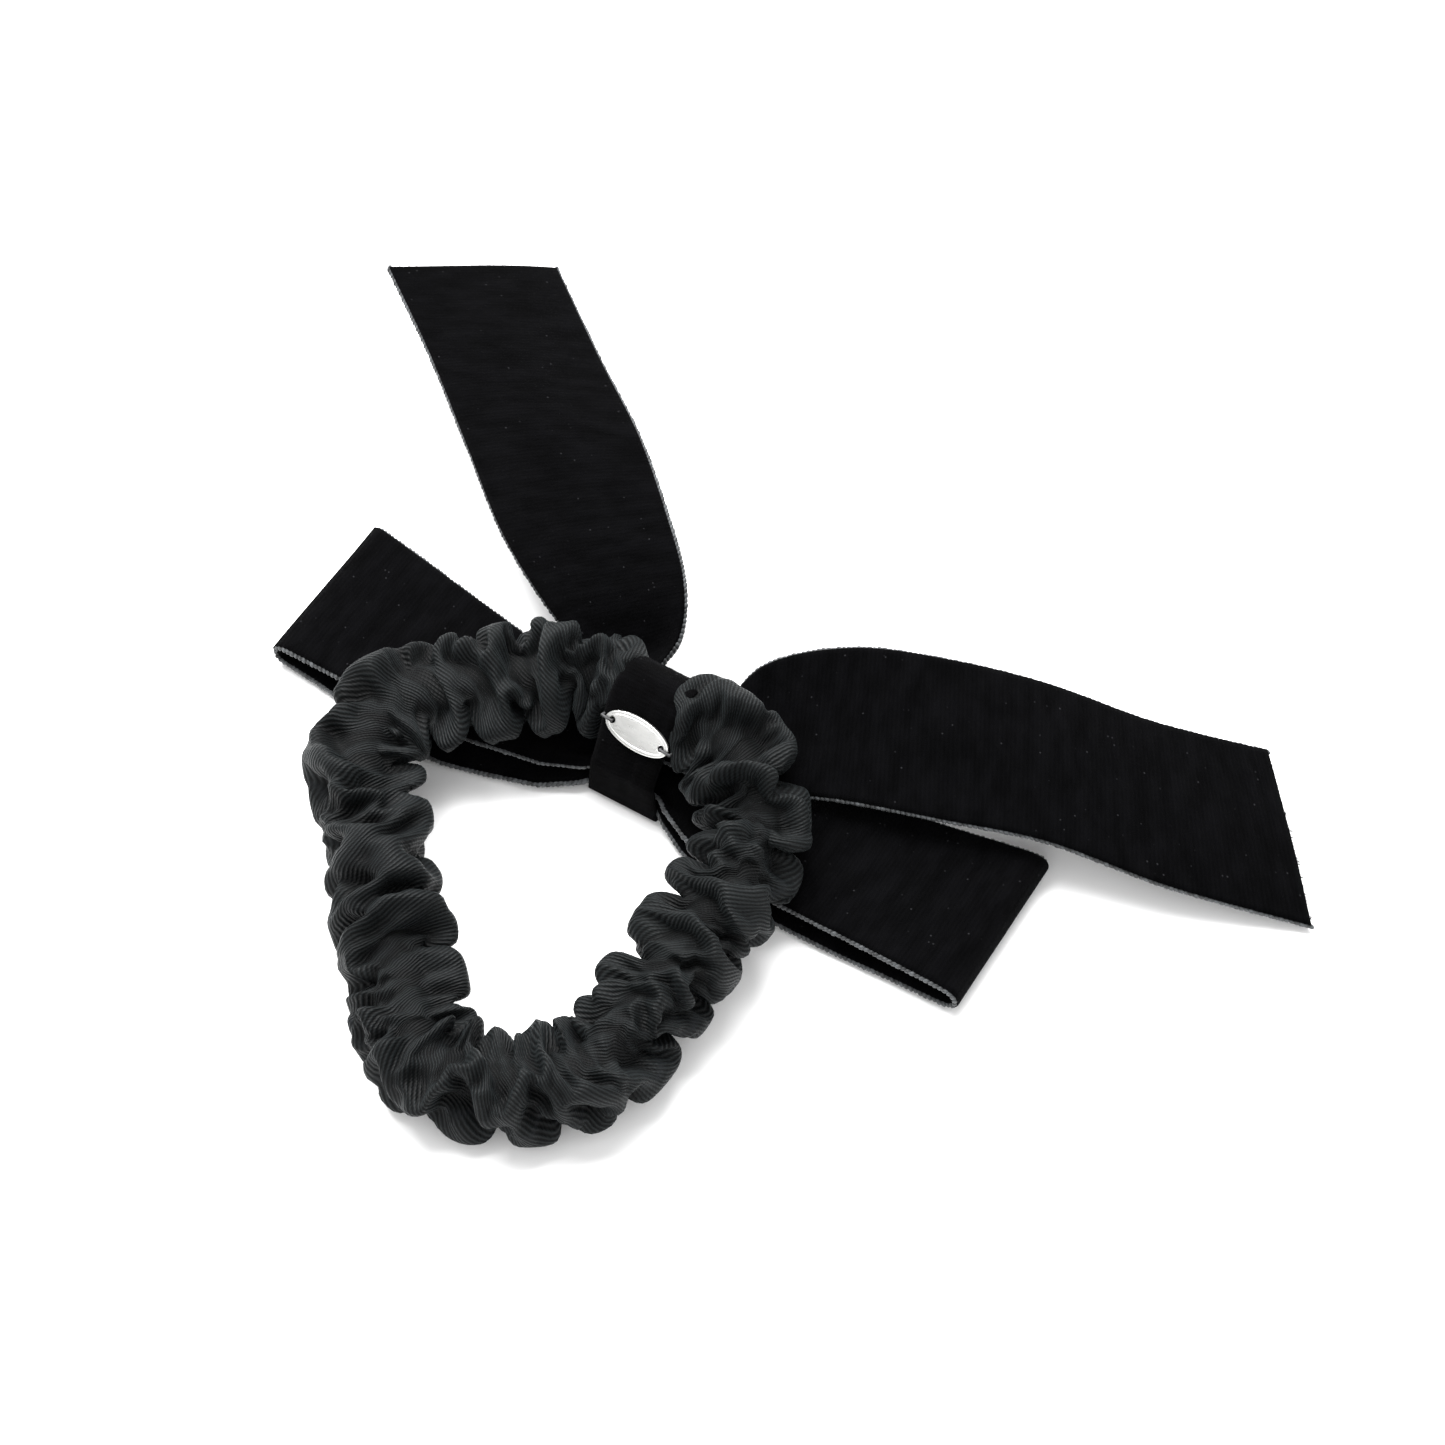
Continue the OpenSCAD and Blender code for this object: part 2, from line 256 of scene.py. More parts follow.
def twillFinish(name):
    f = Finish(name)
    ribs = f.node("ShaderNodeTexWave", wave_type="BANDS", bands_direction="X")
    ribs.inputs["Scale"].default_value = 0.3142 / twillLook["ribPitchCm"]
    ribs.inputs["Distortion"].default_value = 0.35
    ribs.inputs["Detail"].default_value = 1.0
    ribs.inputs["Detail Scale"].default_value = 1.5
    f.join(f.coords("UV", turn=(0, 0, math.radians(twillLook["ribAngle"]))), ribs.inputs["Vector"])
    cross = f.node("ShaderNodeTexWave", wave_type="BANDS", bands_direction="Y")
    cross.inputs["Scale"].default_value = 0.3142 / 0.040
    cross.inputs["Distortion"].default_value = 0.3
    f.join(f.coords("UV"), cross.inputs["Vector"])
    fibre = f.noise(f.coords("UV", (1, 1, 1)), 60.0, 2.0, 0.6)
    wear = f.noise(f.coords("UV", (0.6, 0.6, 1)), 1.4, 3.0, 0.5)
    tone = f.maths("ADD", f.maths("MULTIPLY", ribs.outputs["Fac"], 0.55), f.maths("MULTIPLY", fibre, 0.30))
    tone = f.maths("ADD", tone, f.maths("MULTIPLY", wear, 0.30))
    # painted shade: the foldShade attribute darkens the twill colour in the fold valleys, where shade falls, and keeps
    # it lighter on the crests
    fold = f.node("ShaderNodeAttribute", attribute_name="foldShade")
    creaseShade = f.ramp(fold.outputs["Fac"], 0.12, 0.70, 0.10, 1.0)
    colour = f.mix(f.maths("MULTIPLY", f.ramp(tone, 0.20, 1.0), creaseShade), twillLook["deep"], twillLook["lit"])
    split = f.node("ShaderNodeSeparateXYZ")
    f.join(f.coords("UV"), split.inputs["Vector"])
    off = f.maths("ABSOLUTE", f.maths("SUBTRACT", split.outputs["X"], twillLook["seamAtCm"]))
    seam = f.ramp(off, 0.010, 0.060, 1.0, 0.0)
    colour = f.mix(f.maths("MULTIPLY", seam, 0.75), colour, (0.006, 0.007, 0.008, 1))
    f.join(colour, f.shader.inputs["Base Color"])
    f.join(f.ramp(ribs.outputs["Fac"], 0.0, 1.0, 0.66, 0.50), f.shader.inputs["Roughness"])
    f.shader.inputs["Specular IOR Level"].default_value = 0.11
    f.shader.inputs["Sheen Weight"].default_value = 0.02
    f.shader.inputs["Sheen Roughness"].default_value = 0.4
    f.shader.inputs["Sheen Tint"].default_value = (0.80, 0.95, 1.0, 1)
    seamed = f.bump(seam, 0.0006, -0.8)
    wide = f.bump(f.maths("ADD", ribs.outputs["Fac"], f.maths("MULTIPLY", cross.outputs["Fac"], 0.25)), 0.00012, 0.9, seamed)
    f.join(f.bump(fibre, 0.00006, 0.6, wide), f.shader.inputs["Normal"])
    return f.material


def threadFinish(name, colour, lit):
    f = Finish(name)
    place = f.coords("Object", (1, 1, 1), (0.6, 0.4, 0.9))
    twist = f.node("ShaderNodeTexWave", wave_type="BANDS", bands_direction="DIAGONAL")
    twist.inputs["Scale"].default_value = 420.0
    twist.inputs["Distortion"].default_value = 1.2
    f.join(place, twist.inputs["Vector"])
    f.join(f.mix(twist.outputs["Fac"], colour, lit), f.shader.inputs["Base Color"])
    f.shader.inputs["Roughness"].default_value = 0.6
    f.join(f.bump(twist.outputs["Fac"], 0.00006), f.shader.inputs["Normal"])
    return f.material


def elasticFinish(name):
    f = Finish(name)
    place = f.coords("Object")
    braid = f.node("ShaderNodeTexWave", wave_type="BANDS", bands_direction="DIAGONAL")
    braid.inputs["Scale"].default_value = 260.0
    f.join(place, braid.inputs["Vector"])
    back = f.node("ShaderNodeTexWave", wave_type="BANDS", bands_direction="X")
    back.inputs["Scale"].default_value = 300.0
    f.join(place, back.inputs["Vector"])
    both = f.maths("MULTIPLY", braid.outputs["Fac"], back.outputs["Fac"])
    f.join(f.mix(both, (0.010, 0.010, 0.011, 1), (0.035, 0.035, 0.037, 1)), f.shader.inputs["Base Color"])
    f.shader.inputs["Roughness"].default_value = 0.75
    f.join(f.bump(both, 0.0002), f.shader.inputs["Normal"])
    return f.material


def tagFinish(name):
    f = Finish(name)
    brushed = f.noise(f.coords("Object", (0.25, 6.0, 1.0), (0, 0, 0.3)), 900.0, 3.0, 0.6)
    spots = f.noise(f.coords("Object"), 700.0, 2.0, 0.5)
    colour = f.mix(f.ramp(spots, 0.35, 0.75), (0.86, 0.86, 0.84, 1), (0.93, 0.93, 0.91, 1))
    f.join(colour, f.shader.inputs["Base Color"])
    f.shader.inputs["Metallic"].default_value = 1.0
    f.join(f.ramp(brushed, 0.2, 0.8, 0.24, 0.40), f.shader.inputs["Roughness"])
    f.join(f.bump(brushed, 0.00002, 0.6), f.shader.inputs["Normal"])
    return f.material


velvetPile = velvetFinish("blackVelvetPile")
knotVelvet = velvetFinish("knotVelvetPile", 1.0)
selvedgeYarn = selvedgeFinish("wovenSelvedgeYarn")
casingTwill = twillFinish("charcoalTwill")
darkThread = threadFinish("darkSewingThread", (0.008, 0.008, 0.009, 1), (0.040, 0.040, 0.043, 1))
tagThread = threadFinish("tagSewingThread", (0.010, 0.010, 0.011, 1), (0.055, 0.055, 0.058, 1))
braidedElastic = elasticFinish("braidedElastic")
tagMetal = tagFinish("paleTagMetal")
report("finishes")

# mesh helpers

def meshObject(name, points, faces, uvs=None, material=None, smooth=True):
    mesh = bpy.data.meshes.new(name)
    mesh.from_pydata([tuple(map(float, p)) for p in points], [], faces)
    if uvs is not None:
        layer = mesh.uv_layers.new(name="weave")
        layer.data.foreach_set("uv", np.asarray(uvs, np.float32).reshape(-1))
    if material is not None:
        mesh.materials.append(material)
    if smooth:
        mesh.polygons.foreach_set("use_smooth", [True] * len(mesh.polygons))
    mesh.update()
    piece = bpy.data.objects.new(name, mesh)
    bpy.context.scene.collection.objects.link(piece)
    return piece


# rows is stations along x points across, in metres; the UV map is in centimetres of flat cloth
def clothGrid(name, rows, material, closedAcross=False, closedAlong=False, scaleUv=None):
    rows = np.asarray(rows, float)
    along, across = rows.shape[:2]
    if scaleUv is None:
        middle = rows[:, across // 2]
        lengths = np.concatenate([[0], np.cumsum(np.linalg.norm(np.diff(middle, axis=0), axis=1))]) * 100
        width = np.linspace(0, ribbon["width"] * 100, across)
    else:
        lengths, width = scaleUv
    faces, uvs = [], []
    lastAlong = along if closedAlong else along - 1
    lastAcross = across if closedAcross else across - 1
    for i in range(lastAlong):
        for j in range(lastAcross):
            i2, j2 = (i + 1) % along, (j + 1) % across
            faces.append((i * across + j, i * across + j2, i2 * across + j2, i2 * across + j))
            uvs += [(width[j], lengths[i]), (width[j + 1] if j2 == 0 else width[j2], lengths[i]),
                    (width[j + 1] if j2 == 0 else width[j2], lengths[i + 1] if i2 == 0 else lengths[i2]),
                    (width[j], lengths[i + 1] if i2 == 0 else lengths[i2])]
    return meshObject(name, rows.reshape(-1, 3), faces, uvs, material)


# turns the piece's live modifiers into its own plain mesh
def applied(piece):
    bpy.context.view_layer.update()
    graph = bpy.context.evaluated_depsgraph_get()
    mesh = bpy.data.meshes.new_from_object(piece.evaluated_get(graph), preserve_all_data_layers=True, depsgraph=graph)
    piece.modifiers.clear()
    old = piece.data
    piece.data = mesh
    mesh.name = piece.name
    if old.users == 0:
        bpy.data.meshes.remove(old)
    return piece


def thicken(piece, thickness, offset=0.0):
    wall = piece.modifiers.new("cloth thickness", "SOLIDIFY")
    wall.thickness = thickness
    wall.offset = offset
    wall.use_even_offset = False
    return applied(piece)


# smooth line through the points of the chosen spans
def catmull(points, spans, perSpan):
    points = np.asarray(points, float)
    last = len(points) - 1
    out = []
    for k in spans:
        p0, p1, p2, p3 = (points[min(max(q, 0), last)] for q in (k - 1, k, k + 1, k + 2))
        for n in range(perSpan):
            t = n / perSpan
            out.append(0.5 * (2 * p1 + (p2 - p0) * t + (2 * p0 - 5 * p1 + 4 * p2 - p3) * t * t
                              + (3 * p1 - p0 - 3 * p2 + p3) * t ** 3))
    out.append(points[spans[-1] + 1])
    return np.array(out)


# several open lines as one edge mesh, ready for a node tree
def polyline(name, lines):
    points, edges = [], []
    for line in lines:
        base = len(points)
        points += [tuple(map(float, p)) for p in line]
        edges += [(base + k, base + k + 1) for k in range(len(line) - 1)]
    mesh = bpy.data.meshes.new(name)
    mesh.from_pydata(points, edges, [])
    piece = bpy.data.objects.new(name, mesh)
    bpy.context.scene.collection.objects.link(piece)
    return piece


# woven edge, a node tree
selvedge = {
    "pitch": 0.00072,
    "yarn": 0.00038,
    "stretch": 1.7,
    "tilt": 38.0,
    "seed": 7,
}


def selvedgeTree():
    tree = bpy.data.node_groups.new("wovenEdge", "GeometryNodeTree")
    sockets = {}
    tree.interface.new_socket("Geometry", in_out="INPUT", socket_type="NodeSocketGeometry")
    for label, kind, value in (
            ("Yarn pitch", "NodeSocketFloat", selvedge["pitch"]),
            ("Yarn radius", "NodeSocketFloat", selvedge["yarn"]),
            ("Yarn stretch", "NodeSocketFloat", selvedge["stretch"]),
            ("Yarn tilt", "NodeSocketFloat", math.radians(selvedge["tilt"])),
            ("Seed", "NodeSocketInt", selvedge["seed"]),
            ("Yarn material", "NodeSocketMaterial", None)):
        socket = tree.interface.new_socket(label, in_out="INPUT", socket_type=kind)
        if value is not None:
            socket.default_value = value
        sockets[label] = socket.identifier
    tree.interface.new_socket("Geometry", in_out="OUTPUT", socket_type="NodeSocketGeometry")
    add, link = tree.nodes.new, tree.links.new
    start, end = add("NodeGroupInput"), add("NodeGroupOutput")
    curve = add("GeometryNodeMeshToCurve")
    spaced = add("GeometryNodeResampleCurve")
    spaced.mode = "LENGTH"
    yarn = add("GeometryNodeMeshUVSphere")
    yarn.inputs["Segments"].default_value = 6
    yarn.inputs["Rings"].default_value = 5
    long = add("ShaderNodeCombineXYZ")
    long.inputs["X"].default_value = 1.0
    long.inputs["Y"].default_value = 1.0
    shaped = add("GeometryNodeTransform")
    tangent = add("GeometryNodeInputTangent")
    aim = add("FunctionNodeAlignRotationToVector")
    aim.axis = "Z"
    lean = add("FunctionNodeRotateRotation")
    lean.rotation_space = "LOCAL"
    tilt = add("ShaderNodeCombineXYZ")
    size = add("FunctionNodeRandomValue")
    size.inputs[2].default_value = 0.88
    size.inputs[3].default_value = 1.12
    placed = add("GeometryNodeInstanceOnPoints")
    real = add("GeometryNodeRealizeInstances")
    soft = add("GeometryNodeSetShadeSmooth")
    paint = add("GeometryNodeSetMaterial")
    link(start.outputs["Geometry"], curve.inputs["Mesh"])
    link(curve.outputs["Curve"], spaced.inputs["Curve"])
    link(start.outputs["Yarn pitch"], spaced.inputs["Length"])
    link(start.outputs["Yarn radius"], yarn.inputs["Radius"])
    link(start.outputs["Yarn stretch"], long.inputs["Z"])
    link(yarn.outputs["Mesh"], shaped.inputs["Geometry"])
    link(long.outputs["Vector"], shaped.inputs["Scale"])
    link(tangent.outputs["Tangent"], aim.inputs["Vector"])
    link(aim.outputs["Rotation"], lean.inputs["Rotation"])
    link(start.outputs["Yarn tilt"], tilt.inputs["X"])
    link(tilt.outputs["Vector"], lean.inputs["Rotate By"])
    link(spaced.outputs["Curve"], placed.inputs["Points"])
    link(shaped.outputs["Geometry"], placed.inputs["Instance"])
    link(lean.outputs["Rotation"], placed.inputs["Rotation"])
    link(start.outputs["Seed"], size.inputs["Seed"])
    link(size.outputs[1], placed.inputs["Scale"])
    link(placed.outputs["Instances"], real.inputs["Geometry"])
    link(real.outputs["Geometry"], soft.inputs["Geometry"])
    link(soft.outputs["Geometry"], paint.inputs["Geometry"])
    link(start.outputs["Yarn material"], paint.inputs["Material"])
    link(paint.outputs["Geometry"], end.inputs["Geometry"])
    return tree, sockets


edgeTree, edgeSockets = selvedgeTree()


# beaded edge yarn along the given lines, as one plain mesh
def wovenEdge(name, lines, material=None, **changes):
    piece = polyline(name, lines)
    nodes = piece.modifiers.new("wovenEdge", "NODES")
    nodes.node_group = edgeTree
    nodes[edgeSockets["Yarn material"]] = material or selvedgeYarn
    for label, value in changes.items():
        nodes[edgeSockets[label]] = value
    return applied(piece)


# velvet bow, loops
ribbon = {
    "width": 0.025,
    "thickness": 0.0011,
    "across": 30,
}

bowLoops = {
    "length": 57.0,
    "nearEdge": [(0, -7.2), (5.5, -7.7), (7, -9.0), (12, -11.5), (26, -14), (58, -14)],
    "farEdge": [(0, 2.6), (5.5, 2.9), (7, 3.2), (22, 5.5), (40, 8.5), (58, 12)],
    "path": [(0, 2.1), (6, 2.0), (12, 1.25), (24, 0.92), (40, 0.85), (52, 0.86), (55.6, 1.25), (56.45, 2.65),
             (55.6, 4.05), (52, 4.45), (40, 4.45), (24, 4.45), (12, 4.3), (6, 4.0), (0, 3.9)],
    "pleats": 2.5,
    "pleatHeight": 0.75,
    "waveHeight": 0.28,
    "lowerShift": {-1: -0.7, 1: -0.5},
    "lowerBulge": {-1: -2.1, 1: -0.5},
}


# evenly spaced stations on a smooth line through the points
def smoothLine(points, count):
    dense = catmull(points, list(range(len(points) - 1)), 24)
    run = np.concatenate([[0], np.cumsum(np.linalg.norm(np.diff(dense, axis=0), axis=1))])
    marks = np.linspace(0, run[-1], count)
    return np.stack([np.interp(marks, run, dense[:, k]) for k in range(dense.shape[1])], axis=1), run[-1]


def loopRibbon(side, name):
    line, length = smoothLine(bowLoops["path"], 150)
    rows = np.zeros((len(line), ribbon["across"], 3))
    for i, (x, z) in enumerate(line):
        near = np.interp(x, *zip(*bowLoops["nearEdge"]))
        far = np.interp(x, *zip(*bowLoops["farEdge"]))
        share = i / (len(line) - 1)
        lower = max(0.0, 1 - share * 2)
        bulge = bowLoops["lowerBulge"][side] * math.sin(math.pi * min(1.0, x / bowLoops["length"])) ** 2
        shift = min(1.0, lower * 3) * (bowLoops["lowerShift"][side] + bulge)
        for j in range(ribbon["across"]):
            v = j / (ribbon["across"] - 1)
            fold = bowLoops["pleatHeight"] * math.exp(-max(0, x - 5) / 8) * math.cos(math.tau * bowLoops["pleats"] * v + side)
            fold *= 1.0 if share > 0.5 else -0.35
            wave = bowLoops["waveHeight"] * noise.noise(Vector((x * 0.07 + 3 * side, v * 2.1, share * 4 + 9)))
            if share < 0.5:
                wave = abs(wave) * 0.6
            edge = 0.35 * noise.noise(Vector((x * 0.05 + 11, side * 3.0, share * 3)))
            y = near + (far - near) * v + shift * (1 - v) ** 0.7 + edge * (v - 0.5)
            rows[i, j] = (side * x, y, z + fold + wave * min(1, x / 14))
    rows *= 0.001
    if side > 0:
        rows = rows[:, ::-1]
    piece = thicken(clothGrid(name, rows, velvetPile), ribbon["thickness"])
    edges = wovenEdge(name + "Selvedge", [rows[:, 0], rows[:, -1]])
    return piece, edges, length * 0.001


loopPieces = {}
for side, body in ((-1, "loop_left"), (1, "loop_right")):
    label = "velvetLoopLeft" if side < 0 else "velvetLoopRight"
    piece, edges, length = loopRibbon(side, label)
    loopPieces[body] = (piece, edges, length)
report("loops")

# velvet bow, tails
bowTails = {
    "near": [[-78, 48, 14], [-63, 37, 14], [-49, 26, 13], [-36, 16, 11], [-24, 9.5, 9], [-13, 5, 7], [-5, -2, 6.3],
             [5, -3, 6.3], [16, -1, 6], [28, 3, 8], [42, 7, 9], [56, 12, 8], [73, 16, 5], [92, 23, 1]],
    "far": [[-56, 61, 14], [-40, 48, 16], [-26, 37, 18], [-15, 27, 18], [-7, 19, 16], [-4, 13, 11.5], [-5, 6.5, 6.6],
            [5, 6.5, 6.6], [9, 15, 12], [19, 22, 15], [31, 27, 15], [45, 32, 13], [60, 36, 10], [75, 42, 7]],
    "leftCrown": [(0, 0.5), (2, 1.0), (4, 0.2), (5, -1.6), (6, -0.2), (7, 0)],
    "rightCrown": [(6, 0), (7, 0.2), (8, -1.2), (9, -0.6), (11, 1.0), (13, 0.6)],
    "waveHeight": 0.32,
}


def tailRibbon(spans, crown, name, seed):
    perSpan = 14
    near = catmull(bowTails["near"], spans, perSpan)
    far = catmull(bowTails["far"], spans, perSpan)
    marks = np.linspace(spans[0], spans[-1] + 1, len(near))
    if spans[0] > 0:                                   # starts in the middle of the waist
        keep = marks >= 6.5
    else:
        keep = marks <= 6.5
    near, far, marks = near[keep], far[keep], marks[keep]
    rows = np.zeros((len(near), ribbon["across"], 3))
    middle = (near + far) / 2
    ahead = np.gradient(middle, axis=0)
    for i in range(len(near)):
        acrossWay = far[i] - near[i]
        up = np.cross(ahead[i], acrossWay)
        up /= max(1e-6, np.linalg.norm(up))
        if up[2] < 0:
            up = -up
        bow = np.interp(marks[i], *zip(*crown))
        calm = min(1.0, abs(marks[i] - 6.5) / 2)
        for j in range(ribbon["across"]):
            v = j / (ribbon["across"] - 1)
            wave = bowTails["waveHeight"] * noise.noise(Vector((marks[i] * 0.55, v * 1.7, seed))) * calm
            rows[i, j] = near[i] + acrossWay * v + up * (bow * math.sin(math.pi * v) + wave)
    rows *= 0.001
    length = float(np.linalg.norm(np.diff(rows[:, ribbon["across"] // 2], axis=0), axis=1).sum())
    area = 0.0
    for i in range(len(rows) - 1):
        for j in range(ribbon["across"] - 1):
            a, b, c, d = rows[i, j], rows[i, j + 1], rows[i + 1, j + 1], rows[i + 1, j]
            area += (np.linalg.norm(np.cross(b - a, d - a)) + np.linalg.norm(np.cross(b - c, d - c))) / 2
    piece = thicken(clothGrid(name, rows, velvetPile), ribbon["thickness"])
    edges = wovenEdge(name + "Selvedge", [rows[:, 0], rows[:, -1]])
    return piece, edges, length, area, rows


tailLeft = tailRibbon(list(range(0, 7)), bowTails["leftCrown"], "velvetTailLeft", 2.0)
tailRight = tailRibbon(list(range(6, 13)), bowTails["rightCrown"], "velvetTailRight", 5.0)
report("tails")

# cut ends, a few loose pile ends
frayedEnd = {"count": 90, "length": 0.0011, "radius": 0.00006, "seed": 21}


def frayPiece(name, endRow, outward, seed):
    rng = random.Random(seed)
    points, faces = [], []
    for _ in range(frayedEnd["count"]):
        t = rng.random() * (len(endRow) - 1)
        k = int(t)
        base = endRow[k] * (1 - t + k) + endRow[min(k + 1, len(endRow) - 1)] * (t - k)
        base = base + np.array([0, 0, rng.uniform(-0.4, 0.4) * ribbon["thickness"]])
        way = np.array(outward) + np.array([rng.uniform(-0.5, 0.5), rng.uniform(-0.5, 0.5), rng.uniform(-0.25, 0.35)])
        way /= np.linalg.norm(way)
        reach = frayedEnd["length"] * rng.uniform(0.35, 1.0)
        side = np.cross(way, [0, 0, 1.0])
        side /= max(1e-6, np.linalg.norm(side))
        other = np.cross(way, side)
        first = len(points)
        for share, slim in ((-0.3, 1.0), (0.5, 0.8), (1.0, 0.25)):
            centre = base + way * reach * share + other * reach * 0.15 * share * share
            for q in range(3):
                a = math.tau * q / 3
                points.append(centre + (side * math.cos(a) + other * math.sin(a)) * frayedEnd["radius"] * slim)
        for ring in range(2):
            for q in range(3):
                a, b = first + ring * 3 + q, first + ring * 3 + (q + 1) % 3
                faces.append((a, b, b + 3, a + 3))
        faces += [(first + 2, first + 1, first), (first + 6, first + 7, first + 8)]
    return meshObject(name, points, faces, None, selvedgeYarn)


def endDirection(rows, first):
    way = rows[0].mean(0) - rows[6].mean(0) if first else rows[-1].mean(0) - rows[-7].mean(0)
    return way / np.linalg.norm(way)


frayLeft = frayPiece("frayTailLeft", tailLeft[4][0], endDirection(tailLeft[4], True), frayedEnd["seed"])
frayRight = frayPiece("frayTailRight", tailRight[4][-1], endDirection(tailRight[4], False), frayedEnd["seed"] + 1)

# knot band
knot = {
    "width": 11.0,
    "halfDepth": 9.5,
    "baseHeight": 7.5,
    "topRadius": 5.6,
    "centreY": 0.5,
    "centreZ": 13.0,
    "thickness": 1.0,
    "across": 26,
    "around": 168,
    "gatherHeight": 0.22,
    "waistIn": 0.35,
}


# outer outline of the band in the Y-Z plane, from the middle of its underside round the front
def bandOutline():
    h, b, r, cy, cz = (knot[k] for k in ("halfDepth", "baseHeight", "topRadius", "centreY", "centreZ"))
    corner = 1.3
    points = [(0.0, 0.0)]

    def tangentPoint(y0, sign):
        dy, dz = cy - y0, cz - b
        d = math.hypot(dy, dz)
        base = math.atan2(dz, dy)
        lean = math.asin(r / d)
        a = base + (lean if sign < 0 else -lean)
        length = math.sqrt(d * d - r * r)
        return (y0 + length * math.cos(a), b + length * math.sin(a))

    front = tangentPoint(-h, -1)
    back = tangentPoint(h, 1)
    for k in range(7):
        a = math.radians(-90 - 90 * k / 6)
        points.append((-h + corner + corner * math.cos(a), corner + corner * math.sin(a)))
    points.append((-h, b - 1.0))
    points.append((-h + 0.08, b + 0.2))
    a0 = math.atan2(front[1] - cz, front[0] - cy)
    a1 = math.atan2(back[1] - cz, back[0] - cy)
    if a0 < 0:
        a0 += math.tau
    for k in range(17):
        a = a0 + (a1 - a0) * k / 16
        points.append((cy + r * math.cos(a), cz + r * math.sin(a)))
    points.append((h - 0.08, b + 0.2))
    points.append((h, b - 1.0))
    for k in range(7):
        a = math.radians(-90 * k / 6)
        points.append((h - corner + corner * math.cos(a), corner + corner * math.sin(a)))
    points.append((0.0, 0.0))
    run = np.concatenate([[0], np.cumsum([math.dist(p, q) for p, q in zip(points, points[1:])])])
    marks = np.linspace(0, run[-1], knot["around"], endpoint=False)
    line = np.stack([np.interp(marks, run, [p[k] for p in points]) for k in (0, 1)], axis=1)
    return line, run[-1]


def knotBandPiece():
    line, length = bandOutline()
    count = len(line)
    rows = np.zeros((count, knot["across"], 3))
    for i in range(count):
        y, z = line[i]
        step = line[(i + 1) % count] - line[i - 1]
        out = np.array([-step[1], step[0]]) / np.linalg.norm(step)
        if out @ (line[i] - np.array([0.2, 8.0])) < 0:
            out = -out
        high = min(1.0, max(0.0, (z - 1.0) / 5.0))
        narrow = knot["waistIn"] * math.exp(-((z - 9.0) / 4.0) ** 2)
        for j in range(knot["across"]):
            v = j / (knot["across"] - 1)
            x = (v - 0.5) * (knot["width"] - 2 * narrow)
            pleat = noise.noise(Vector((v * 5.5, i * 0.018, 3.3))) + 0.5 * noise.noise(Vector((v * 11.0, i * 0.03, 8.8)))
            sink = -abs(knot["gatherHeight"] * pleat) * high * math.sin(math.pi * v) ** 0.4
            edge = -0.42 * (max(0.0, abs(v - 0.5) - 0.40) / 0.10) ** 2
            rows[i, j] = (x, y + out[0] * (sink + edge * high), z + out[1] * (sink + edge * high))
    rows *= 0.001
    widths = np.linspace(0, knot["width"] * 0.1, knot["across"])
    lengths = np.linspace(0, length * 0.1, count + 1)
    piece = clothGrid("velvetKnotBand", rows, knotVelvet, closedAlong=True, scaleUv=(lengths, widths))
    # the outer face is the drawn one, so the wall goes inward
    piece = thicken(piece, knot["thickness"] * 0.001, -1.0)
    return piece, length * 0.001


bandPiece, bandLength = knotBandPiece()
report("knot band")

# metal tag
tag = {
    "length": 10.4,
    "height": 5.0,
    "thickness": 0.5,
    "holeRadius": 0.45,
    "holeAt": 4.1,
    "bevel": 0.12,
    "slope": 58.2,
    "foot": (0.6, -9.5, 7.5),
    "up": 7.7,
    "off": 0.1,
    "turn": -5.0,
    "rimInset": 0.55,
}


def tagPlace():
    return (Matrix.Translation(Vector(tag["foot"])) @ Matrix.Rotation(math.radians(tag["slope"]), 4, "X")
            @ Matrix.Translation((0, tag["up"], tag["off"])) @ Matrix.Rotation(math.radians(tag["turn"]), 4, "Z"))


def ovalLine(a, b, count=72, power=2.0):
    return [(a * math.copysign(abs(math.cos(t)) ** (2 / power), math.cos(t)), b * math.copysign(abs(math.sin(t)) ** (2 / power), math.sin(t)))
            for t in (math.tau * k / count for k in range(count))]


def addRing(curve, points):
    spline = curve.splines.new("POLY")
    spline.points.add(len(points) - 1)
    for p, (x, y) in zip(spline.points, points):
        p.co = (x, y, 0, 1)
    spline.use_cyclic_u = True


